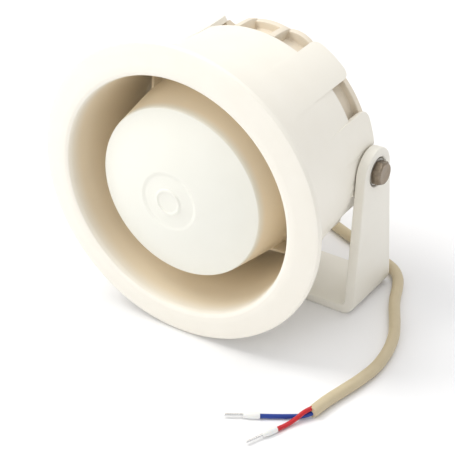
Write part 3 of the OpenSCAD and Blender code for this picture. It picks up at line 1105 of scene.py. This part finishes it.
@dataclass(frozen=True)
class PivotBolts:
    """Hexagon-head bolts with flat washers, one at each arm.

    Attributes:
        seat: Distance from the middle to the underside of the heads.
        across: Width across the flats of a head.
        height: Height of a head.
        turn: How far each head is turned, in degrees.
    """

    seat: float
    across: float = 10.0
    height: float = 4.0
    turn: float = 18.0

    def build(self) -> tuple[bpy.types.Object, bpy.types.Object]:
        """Builds both bolts as one piece and both washers as another."""
        shank = [(0, -10.3, 0), (2.6, -10.3, 0.2), (3, -9.8, 0.2), (3, 0.2, 0), (0, 0.2, 0)]
        shank = rounded(shank, 3, closed=False)
        ring = [(3.15, -1.2, 0.1), (6.2, -1.2, 0.25), (6.2, 0, 0.25), (3.15, 0, 0.1)]
        ring = rounded(ring, 3)
        bolts, washers = [], []
        for side in BOTH_SIDES:
            axis = pivot_axis(side, self.seat)
            bolts.append(self.head(axis))
            mesh = Mesh()
            axis.turned(mesh, shank, 32, closed=False)
            bolts.append(mesh.piece("shank"))
            mesh = Mesh()
            axis.turned(mesh, ring, 64)
            washers.append(mesh.piece("washer"))
        return join("pivot_bolt_pair", bolts), join("pivot_washer_pair", washers)

    def head(self, axis: Axis) -> bpy.types.Object:
        """Builds a hexagon head whose top corners are turned away to a cone."""
        flat = self.across / 2
        corner = flat / math.cos(math.radians(30))
        shoulder, top, dent = self.height * 0.62, flat * 0.93, 0.12
        rows, count = 7, 60
        rings = [self.hexagon(axis, flat, corner, 0.0, count)]
        for k in range(rows):
            share = k / (rows - 1)
            cone = mix(corner, top, smoothstep(0, 1, share))
            rings.append(self.hexagon(axis, flat, cone, mix(shoulder, self.height, share), count))
        for radius, depth in ((flat * 0.72, self.height), (flat * 0.6, self.height - dent)):
            rings.append([axis.point(radius, 360 * j / count, depth) for j in range(count)])
        mesh = Mesh()
        mesh.solid(rings)
        return mesh.piece("head", sharp=20)

    def hexagon(
        self, axis: Axis, flat: float, cone: float, depth: float, count: int
    ) -> Ring:
        """Returns a hexagon's points, kept inside a round limit."""
        ring: Ring = []
        for j in range(count):
            a = 360 * j / count
            local = (a % 60) - 30
            r = min(flat / math.cos(math.radians(local)), cone)
            ring.append(axis.point(r, a + self.turn, depth))
        return ring


@dataclass(frozen=True)
class Lead:
    """The siren's two-core lead with crimped ferrules.

    Attributes:
        sheath: Route of the sheath's centreline.
        blue: Route of the blue core.
        red: Route of the red core.
        sheath_radius: Outside radius of the sheath.
        core_radius: Outside radius of a core.
        sleeve: Length of a ferrule's plastic sleeve.
        pin: Length of its metal pin.
    """

    sheath: tuple[Point, ...]
    blue: tuple[Point, ...]
    red: tuple[Point, ...]
    sheath_radius: float = 2.6
    core_radius: float = 1.0
    sleeve: float = 6.5
    pin: float = 8.0

    def build(self) -> dict[str, bpy.types.Object]:
        line = smooth_path(self.sheath, 5)
        mesh = Mesh()
        tube(mesh, line, self.sheath_width, 32)
        sheath = mesh.piece("lead_sheath", sharp=50)
        pieces = {"sheath": sheath}
        sleeves, pins = [], []
        for name, route in (("blue", self.blue), ("red", self.red)):
            mesh = Mesh()
            core = smooth_path(route, 6)
            tube(mesh, core, lambda _: self.core_radius, 20)
            pieces[name] = mesh.piece(f"lead_core_{name}", sharp=50)
            sleeve, pin = self.ferrule(core)
            sleeves.append(sleeve)
            pins.append(pin)
        pieces["sleeves"] = join("ferrule_sleeve_pair", sleeves)
        pieces["pins"] = join("ferrule_pin_pair", pins)
        return pieces

    def sheath_width(self, share: float) -> float:
        """Returns the sheath's radius, which draws in a little at the cut end."""
        return self.sheath_radius - 0.25 * smoothstep(0.996, 1.0, share)

    def ferrule(self, core: Sequence[Vector]) -> tuple[bpy.types.Object, bpy.types.Object]:
        """Builds one ferrule's sleeve and pin at the end of a core."""
        end = core[-1]
        ahead = end - core[-4]
        ahead.z = 0
        ahead.normalize()
        lies_at = 1.55
        rest = Vector((end.x, end.y, lies_at))
        axis = Axis(rest, ahead, Vector((-ahead.y, ahead.x, 0)))
        mesh = Mesh()
        outline = rounded(
            [
                (1.0, -0.2, 0.1),
                (1.5, -0.6, 0.15),
                (1.5, self.sleeve * 0.62, 1.5),
                (1.05, self.sleeve, 0.3),
                (0.45, self.sleeve, 0.1),
                (0.45, 0.6, 0.1),
            ],
            4,
        )
        axis.turned(mesh, outline, 28)
        sleeve = mesh.piece("sleeve", sharp=45)
        mesh = Mesh()
        rows = [(0.0, self.sleeve - 0.3), (0.66, self.sleeve - 0.3), (0.66, self.sleeve + 0.8)]
        dents, first, pitch = 6, 1.2, 1.0
        for k in range(dents):
            start = self.sleeve + first + k * pitch
            rows += [(0.62, start), (0.54, start + 0.3), (0.54, start + 0.6), (0.62, start + 0.85)]
        rows += [(0.6, self.sleeve + self.pin - 0.2), (0.5, self.sleeve + self.pin)]
        rows += [(0.0, self.sleeve + self.pin)]
        axis.turned(mesh, rows, 20, closed=False)
        return sleeve, mesh.piece("pin", sharp=30)


@dataclass(frozen=True)
class PanScrews:
    """Pan-head screws with a cross recess.

    Attributes:
        axes: One axis for each screw, with depth 0 at its head's seat, growing outwards.
        head: Radius of a head.
        height: Height of a head.
        shank: Radius of a shank.
        length: Length of a shank.
    """

    axes: tuple[Axis, ...]
    head: float
    height: float
    shank: float
    length: float

    def build(self, name: str) -> bpy.types.Object:
        """Builds the screws as one piece."""
        made = []
        for axis in self.axes:
            mesh = Mesh()
            outline = rounded(
                [
                    (0, -self.length, 0),
                    (self.shank * 0.5, -self.length, 0),
                    (self.shank, -self.length + 2, 0.3),
                    (self.shank, 0, 0.1),
                    (self.head, 0, 0.2),
                    (self.head, self.height * 0.5, 1.2),
                    (self.head * 0.72, self.height, 1.5),
                    (0, self.height, 0),
                ],
                4,
                closed=False,
            )
            axis.turned(mesh, outline, 36, closed=False)
            screw = mesh.piece("screw", sharp=40)
            tools = []
            for turn in (0, 90):
                tool = Mesh()
                a = math.radians(turn)
                right = axis.right * math.cos(a) + axis.right.cross(axis.along) * math.sin(a)
                long, thin = self.head * 0.62, self.head * 0.13
                slot = [(-long, -thin), (long, -thin), (long, thin), (-long, thin)]
                deep = self.height * 0.45
                Axis(axis.origin, axis.along, right).prism(
                    tool, [(deep, slot), (self.height + 1, slot)]
                )
                tools.append(tool.piece("slot"))
            cut(screw, tools, sharp=40)
            made.append(screw)
        return join(name, made)


# ---------------------------------------------------------------- stage


@dataclass(frozen=True)
class Stage:
    """Floor, light and camera.

    Attributes:
        azimuth: Camera's angle round the object from its front, in degrees.
        elevation: Camera's angle above the horizon.
        distance: Distance from the camera to the plane through the origin, in millimetres.
        aim_right: How far right of the origin's line of sight the camera stands.
        aim_up: How far above it.
        lens: Focal length.
        sensor: Width of the sensor.
    """

    azimuth: float = 33.3
    elevation: float = 32.49
    distance: float = 845.0
    aim_right: float = -16.07
    aim_up: float = 14.96
    lens: float = 142.4
    sensor: float = 36.0

    def camera(self) -> None:
        """Makes the camera."""
        a, e = math.radians(self.azimuth), math.radians(self.elevation)
        back = Vector((math.cos(e) * math.sin(a), -math.cos(e) * math.cos(a), math.sin(e)))
        right = Vector((math.cos(a), math.sin(a), 0))
        up = back.cross(right)
        data = bpy.data.cameras.new("camera")
        data.lens = self.lens
        data.sensor_width = self.sensor
        data.clip_start, data.clip_end = 0.05, 20
        camera = bpy.data.objects.new("camera", data)
        place = back * self.distance + right * self.aim_right + up * self.aim_up
        camera.location = place * MM
        camera.rotation_mode = "QUATERNION"
        camera.rotation_quaternion = (-back).to_track_quat("-Z", "Y")
        bpy.context.scene.collection.objects.link(camera)
        bpy.context.scene.camera = camera

    def floor(self) -> None:
        """Makes a plain pale floor."""
        mesh = Mesh()
        half, height = 4000, -0.02
        corners = ((-half, -half), (half, -half), (half, half), (-half, half))
        ring = [Vector((x, y, height)) for x, y in corners]
        mesh.cap([mesh.bm.verts.new(p * MM) for p in ring])
        floor = mesh.piece("floor")
        Finish("matt_white_floor", "#FAFAFB", "#F8F8FA", 0.9, 0.05, 300.0, 5.0, 0.01).dress(floor)

    def light(self) -> None:
        """Makes the even surround and the soft boxes."""
        scene = bpy.context.scene
        scene.view_settings.view_transform = "Standard"
        world = bpy.data.worlds.new("surround")
        world.use_nodes = True
        shade = world.node_tree.nodes["Background"]
        shade.inputs["Color"].default_value = linear("#FFFFFF")
        shade.inputs["Strength"].default_value = 0.68
        scene.world = world
        self.soft_box("key", (-0.7, -0.35, 1.2), 0.6, 8.5, "#FFFEFA")
        self.soft_box("top", (0.1, 0.5, 1.4), 0.9, 4.0, "#FFFFFF")
        self.soft_box("front", (-0.3, -1.4, 0.75), 0.8, 3.0, "#FFFFFF")

    def soft_box(
        self, name: str, place: Point, side: float, power: float, colour: str
    ) -> None:
        """Makes one square area light that faces the object."""
        data = bpy.data.lights.new(name, "AREA")
        data.shape = "SQUARE"
        data.size = side
        data.energy = power
        data.color = linear(colour)[:3]
        light = bpy.data.objects.new(name, data)
        light.location = place
        middle = Vector((0, -0.02, 0.06))
        aim = middle - Vector(place)
        light.rotation_mode = "QUATERNION"
        light.rotation_quaternion = aim.to_track_quat("-Z", "Y")
        bpy.context.scene.collection.objects.link(light)


# ---------------------------------------------------------------- the siren


SHEATH_ROUTE: tuple[Point, ...] = (
    (-12, 30, 44), (-12, 33, 44), (-12, 38.2, 42.9), (-12, 43.6, 39.8), (-12, 47.6, 35),
    (-12, 49.7, 29), (-12, 50.2, 22.6), (-10.8, 49.9, 15.9), (-7.4, 49, 9.8),
    (-2, 47.6, 5.3), (4.6, 45.4, 3.1), (11, 42.9, 2.7), (17.6, 40.2, 2.7),
    (24.4, 37.4, 2.7), (33, 34, 2.7), (42, 30.2, 2.7), (50.4, 26.4, 2.7),
    (57.8, 22.8, 2.7), (63, 17.2, 2.7), (66.4, 10.6, 2.7), (69, 4, 2.7),
    (72, -2.4, 2.7), (75.4, -8.4, 2.7), (79.4, -15.6, 2.7), (83.4, -24, 2.7), (86.4, -35, 2.7),
    (87.6, -47, 2.7), (86.4, -58.4, 2.7), (84.2, -69, 2.7), (82, -79, 2.7),
    (80.8, -88.8, 2.7),
)
BLUE_ROUTE: tuple[Point, ...] = (
    (80.9, -87.6, 2.2), (80.2, -89.4, 1.9), (77.6, -91.6, 1.3), (73.6, -94.4, 1.2),
    (68.4, -97.8, 1.2), (62.8, -101.2, 1.2),
)
RED_ROUTE: tuple[Point, ...] = (
    (80.7, -86.8, 4), (79.6, -89.6, 4.1), (78.4, -92.2, 3.5), (77.2, -95.2, 2.2),
    (75.6, -99.6, 1.3), (73.3, -105.3, 1.2),
)

# finish of each CAD node that keeps its own shape
KEPT: dict[str, Look] = {
    "reflector_screws": Look.SCREW,
    "throat_horn": Look.SHELL,
    "phase_plug": Look.NYLON,
    "driver_flange": Look.NYLON,
    "top_plate": Look.SCREW,
    "magnet_ring": Look.FERRITE,
    "pole_yoke": Look.SCREW,
    "driver_screws": Look.SCREW,
    "driver_terminals": Look.LAMINATE,
    "diaphragm_dome": Look.FILM,
    "diaphragm_surround": Look.CLOTH,
    "voice_coil": Look.COPPER,
    "cover_gasket": Look.RUBBER,
    "board_standoffs": Look.BRASS,
    "circuit_board": Look.BOARD,
    "board_screws": Look.SCREW,
    "capacitors": Look.VINYL,
    "power_transistors": Look.NYLON,
    "sound_chip": Look.NYLON,
    "resistors": Look.LACQUER,
    "inner_leads": Look.RED,
    "pivot_inserts": Look.BRASS,
    "friction_washers": Look.RUBBER,
    "cable_gland": Look.RUBBER,
    "gland_nut": Look.NYLON,
}


class Siren:
    """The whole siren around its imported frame."""

    def __init__(self, frame: dict) -> None:
        """Reads the few sizes that place the pieces from the frame."""
        self.frame = frame
        shell_low, shell_high = (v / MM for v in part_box("horn_shell"))
        disc_low, _ = (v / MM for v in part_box("reflector_cup"))
        self.rim = (shell_high.x - shell_low.x) / 2
        nose_ahead_of_rim = 7.5
        front = disc_low.y + nose_ahead_of_rim
        height = (shell_high.z + shell_low.z) / 2
        self.axis = Axis(Vector((0, front, height)), Vector((0, 1, 0)), Vector((1, 0, 0)))
        base_low, base_high = (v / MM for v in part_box("u_bracket"))
        self.bracket_half = (base_high.x - base_low.x) / 2
        self.bracket_depth = (base_high.y - base_low.y) / 2

    def place(
        self, piece: bpy.types.Object, body: str, look: Look, slot: str, *nodes: str
    ) -> None:
        """Dresses a piece, puts it on its body and hides the CAD nodes it stands for."""
        look.value.dress(piece)
        if body:
            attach(piece, body)
        if nodes:
            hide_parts(*nodes)
        log.info("%s rides on %s", piece.name, body or "two bodies")

    def lead(self) -> None:
        """Makes the lead, its cores and its ferrules."""
        pieces = Lead(SHEATH_ROUTE, BLUE_ROUTE, RED_ROUTE).build()
        for key, look, slot, node in (
            ("sheath", Look.SHEATH, "pvc_sheath", "cable_sheath"),
            ("blue", Look.BLUE, "blue_insulation", "core_blue"),
            ("red", Look.RED, "red_insulation", "core_red"),
            ("sleeves", Look.SLEEVE, "white_sleeve", "ferrule_sleeves"),
            ("pins", Look.TIN, "tinned_copper", "ferrule_pins"),
        ):
            self.place(pieces[key], "" if key == "sheath" else "bracket", look, slot, node)
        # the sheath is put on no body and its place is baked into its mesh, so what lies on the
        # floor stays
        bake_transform(pieces["sheath"])

    def body(self) -> None:
        """Makes the horn, the reflector, the cover and the cover's screws."""
        moulding = Horn(self.axis, self.rim)
        horn = moulding.build()
        self.place(horn, "horn", Look.SHELL, "abs_shell", "horn_shell")
        moulding.dress_inside(horn, Look.BELL_INSIDE.value)
        cup = Reflector(self.axis).build()
        self.place(cup, "horn", Look.REFLECTOR, "abs_reflector", "reflector_cup")
        rear = RearCover(self.axis)
        self.place(rear.build(), "horn", Look.COVER, "abs_cover", "rear_cover")
        axes = tuple(self.axis.moved(SCREW_RING, a, rear.seat) for a in SCREW_CLOCKS)
        screws = PanScrews(axes, 3.2, 2.2, 1.6, 16).build("cover_screw_set")
        self.place(screws, "horn", Look.SCREW, "zinc_steel", "cover_screws")

    def mounting(self) -> None:
        """Makes the bracket and the pivot bolts."""
        bracket = Bracket(self.bracket_half, self.bracket_depth)
        self.place(bracket.build(), "bracket", Look.BRACKET, "abs_bracket", "u_bracket")
        washer_top = 1.5
        seat = self.bracket_half - bracket.recess + washer_top
        bolts, washers = PivotBolts(seat).build()
        self.place(bolts, "horn", Look.BOLT, "zinc_steel", "pivot_bolts")
        self.place(washers, "horn", Look.SCREW, "zinc_steel", "bolt_washers")

    def inner_parts(self) -> None:
        """Dresses the CAD nodes that keep their shape."""
        for node, look in KEPT.items():
            look.value.dress(self.frame["nodes"][node])
            log.info("%s keeps its shape, in %s", node, look.value.name)


def main() -> None:
    """Builds the scene in order."""
    logging.basicConfig(level=logging.INFO, format="%(message)s")
    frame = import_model()
    stage = Stage()
    stage.camera()
    siren = Siren(frame)
    siren.lead()
    siren.body()
    siren.mounting()
    siren.inner_parts()
    stage.floor()
    stage.light()


if __name__ == "__main__":
    main()
